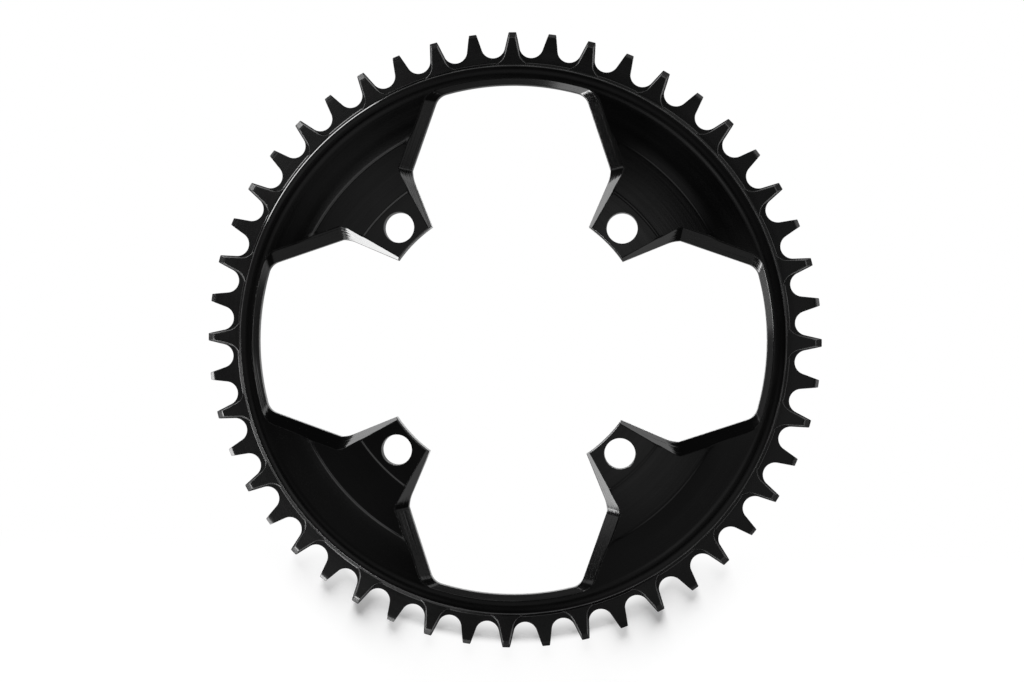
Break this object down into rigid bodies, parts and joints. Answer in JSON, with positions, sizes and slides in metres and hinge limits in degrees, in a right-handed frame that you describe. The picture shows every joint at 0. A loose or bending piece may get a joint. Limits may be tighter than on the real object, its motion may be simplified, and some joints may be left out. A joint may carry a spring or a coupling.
{
  "type": "bicycle chainring",
  "caption": "Flat bicycle chainring with alternating wide and narrow teeth, a dished black outer face and inward arms that bolt to a crank spider.",
  "frame": {"origin": "on the ring's axis, at the level of the back faces of the rim and the wide teeth that it lies on", "axes": "+Z along the ring's axis towards its outer face; +X through a wide tooth midway between two arms, +Y through the next such tooth a quarter turn on"},
  "size_m": [0.203, 0.203, 0.0054],
  "materials": {
    "black_anodised": "satin"
  },
  "bodies": {
    "root": {"chainring": "black_anodised"}
  },
  "joints": []
}
